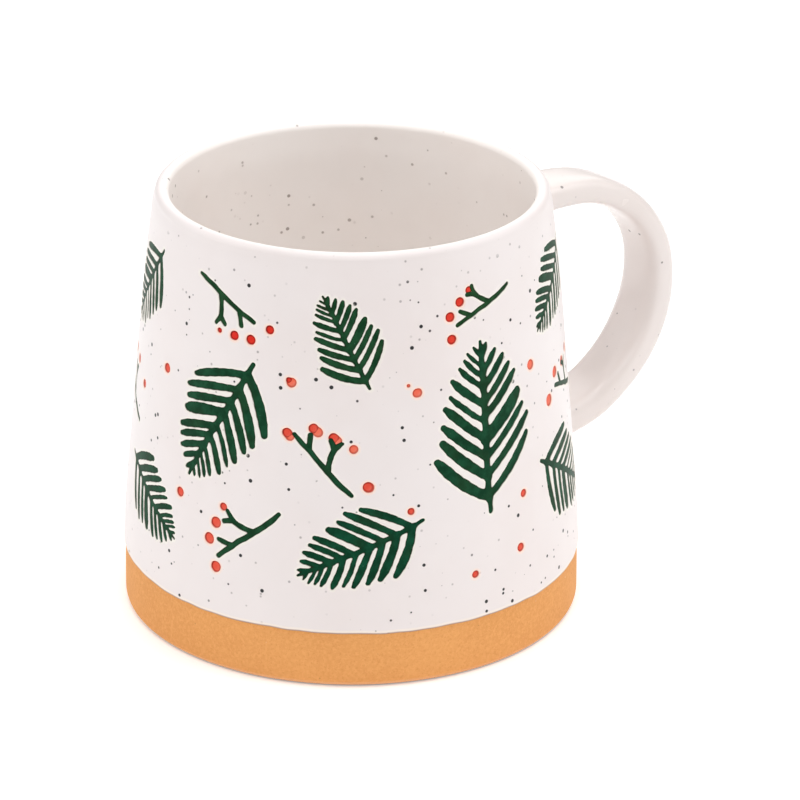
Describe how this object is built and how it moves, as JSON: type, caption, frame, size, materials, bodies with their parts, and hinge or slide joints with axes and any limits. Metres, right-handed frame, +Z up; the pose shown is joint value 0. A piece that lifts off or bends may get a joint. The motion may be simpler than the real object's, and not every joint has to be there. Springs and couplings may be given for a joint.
{
  "type": "stoneware mug",
  "caption": "Tapered stoneware mug with a strap handle, bare clay foot band and sunk painted pine sprigs and berry twigs.",
  "frame": {"origin": "centre of the foot ring, on the surface that the mug stands on", "axes": "+Z up along the mug's axis, +X towards the handle"},
  "size_m": [0.1352, 0.099, 0.094],
  "materials": {
    "bare_clay": "matte",
    "joint_slip": "matte",
    "white_glaze": "satin, speckled",
    "liner_glaze": "satin, speckled",
    "pine_green": "matte",
    "berry_red": "matte"
  },
  "bodies": {
    "root": {"clay_body": "bare_clay", "handle_core": "bare_clay", "upper_slip_joint": "joint_slip", "lower_slip_joint": "joint_slip", "outer_glaze": "white_glaze", "handle_glaze": "white_glaze", "liner_glaze": "liner_glaze", "twig_berries": "berry_red", "loose_berries": "berry_red", "pine_sprig_1": "pine_green", "pine_sprig_2": "pine_green", "pine_sprig_3": "pine_green", "pine_sprig_4": "pine_green", "pine_sprig_5": "pine_green", "pine_sprig_6": "pine_green", "pine_sprig_7": "pine_green", "pine_sprig_8": "pine_green", "pine_sprig_9": "pine_green", "pine_sprig_10": "pine_green", "pine_sprig_11": "pine_green", "pine_sprig_12": "pine_green", "pine_sprig_13": "pine_green", "pine_sprig_14": "pine_green", "pine_sprig_15": "pine_green", "berry_twig_1": "pine_green", "berry_twig_2": "pine_green", "berry_twig_3": "pine_green", "berry_twig_4": "pine_green", "berry_twig_5": "pine_green", "berry_twig_6": "pine_green", "berry_twig_7": "pine_green", "berry_twig_8": "pine_green", "berry_twig_9": "pine_green", "berry_twig_10": "pine_green", "berry_twig_11": "pine_green", "berry_twig_12": "pine_green"}
  },
  "joints": []
}
